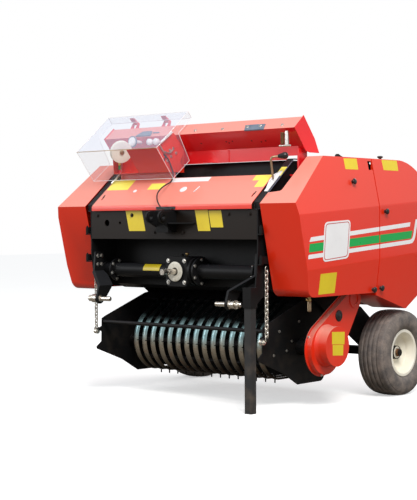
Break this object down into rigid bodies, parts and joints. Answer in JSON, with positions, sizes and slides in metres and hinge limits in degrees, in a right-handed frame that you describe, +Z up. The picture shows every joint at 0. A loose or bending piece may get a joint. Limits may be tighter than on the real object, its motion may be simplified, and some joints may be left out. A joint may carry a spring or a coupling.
{
  "type": "round baler",
  "caption": "Mini round baler carried on a tractor hitch and two tyres, with pickup reel, roller chamber, hinged tailgate and side covers, twine box with clear lid and parking leg.",
  "frame": {"origin": "middle of the footprint on the ground, midway between the top-link ears in front and the back of the tyres", "axes": "+X the machine's left side, +Y backwards, +Z up; it travels towards -Y"},
  "size_m": [1.908, 1.5415, 1.7055],
  "materials": {
    "orange_paint": "gloss",
    "black_paint": "satin",
    "rubber_black": "matte",
    "cream_paint": "satin",
    "cream_plastic": "matte",
    "black_plastic": "matte",
    "zinc": "satin",
    "clear_plastic": "clear",
    "twine": "matte"
  },
  "bodies": {
    "chassis": {"axle": "black_paint", "cross_tube": "black_paint", "front_beam": "black_paint", "front_rollers": "black_paint", "front_sheet": "black_paint", "gearbox": "black_paint", "guard_disc": "cream_plastic", "hitch_arm_left": "black_paint", "hitch_arm_right": "black_paint", "hood": "orange_paint", "housing_ends": "orange_paint", "lever": "black_plastic", "lift_chain_left": "zinc", "lift_chain_right": "zinc", "lower_pin_left": "zinc", "lower_pin_right": "zinc", "side_frame_left": "black_paint", "side_frame_right": "black_paint", "toplink_bracket": "black_paint", "twine_balls": "twine", "twine_box": "orange_paint", "twine_disc": "cream_plastic", "twine_housing": "orange_paint"},
    "wheel_left": {"tyre_left": "rubber_black", "rim_left": "cream_paint"},
    "wheel_right": {"tyre_right": "rubber_black", "rim_right": "cream_paint"},
    "input_shaft": {"input_shaft": "zinc"},
    "pickup": {"pickup_shield_left": "black_paint", "pickup_shield_right": "black_paint", "pickup_frame": "black_paint", "pickup_bands": "zinc", "chain_case": "orange_paint", "case_mount": "black_paint"},
    "reel": {"pickup_reel": "black_paint"},
    "tailgate": {"tailgate_side_left": "black_paint", "tailgate_side_right": "black_paint", "tailgate_cover_left": "orange_paint", "tailgate_cover_right": "orange_paint", "tailgate_rollers": "black_paint", "tailgate_shell": "orange_paint", "tailgate_knobs": "black_plastic"},
    "cover_left": {"side_cover_left": "orange_paint", "cover_hinge_left": "black_paint", "cover_knobs_left": "black_plastic"},
    "cover_right": {"side_cover_right": "orange_paint", "cover_hinge_right": "black_paint", "cover_knobs_right": "black_plastic"},
    "twine_lid": {"twine_lid": "clear_plastic", "lid_hinges": "zinc"},
    "stand": {"stand_leg": "black_paint"}
  },
  "joints": [
    {"name": "wheel_left_spin", "type": "hinge", "parent": "chassis", "child": "wheel_left", "pos_m": [0.779, 0.5122, 0.2536], "axis": [1, 0, 0], "continuous": true},
    {"name": "wheel_right_spin", "type": "hinge", "parent": "chassis", "child": "wheel_right", "pos_m": [-0.779, 0.5122, 0.2536], "axis": [1, 0, 0], "continuous": true},
    {"name": "input_spin", "type": "hinge", "parent": "chassis", "child": "input_shaft", "pos_m": [0, -0.6408, 0.757], "axis": [0, 1, 0], "continuous": true},
    {"name": "pickup_float", "type": "hinge", "parent": "chassis", "child": "pickup", "pos_m": [0, 0.0642, 0.595], "axis": [-1, 0, 0], "range_deg": [0, 8], "deforming": ["lift_chain_left", "lift_chain_right"]},
    {"name": "reel_spin", "type": "hinge", "parent": "pickup", "child": "reel", "pos_m": [0, -0.2158, 0.328], "axis": [1, 0, 0], "continuous": true},
    {"name": "tailgate_lift", "type": "hinge", "parent": "chassis", "child": "tailgate", "pos_m": [0, 0.1482, 1.419], "axis": [1, 0, 0], "range_deg": [0, 60]},
    {"name": "cover_left_swing", "type": "hinge", "parent": "chassis", "child": "cover_left", "pos_m": [0.672, -0.6268, 0.9], "axis": [0, 0, -1], "range_deg": [0, 70]},
    {"name": "cover_right_swing", "type": "hinge", "parent": "chassis", "child": "cover_right", "pos_m": [-0.672, -0.6268, 0.9], "axis": [0, 0, 1], "range_deg": [0, 70]},
    {"name": "twine_lid_lift", "type": "hinge", "parent": "chassis", "child": "twine_lid", "pos_m": [-0.44, -0.2958, 1.655], "axis": [-1, 0, 0], "range_deg": [0, 75]},
    {"name": "stand_slide", "type": "slide", "parent": "chassis", "child": "stand", "axis": [0, 0, 1], "range_m": [0, 0.4]}
  ]
}
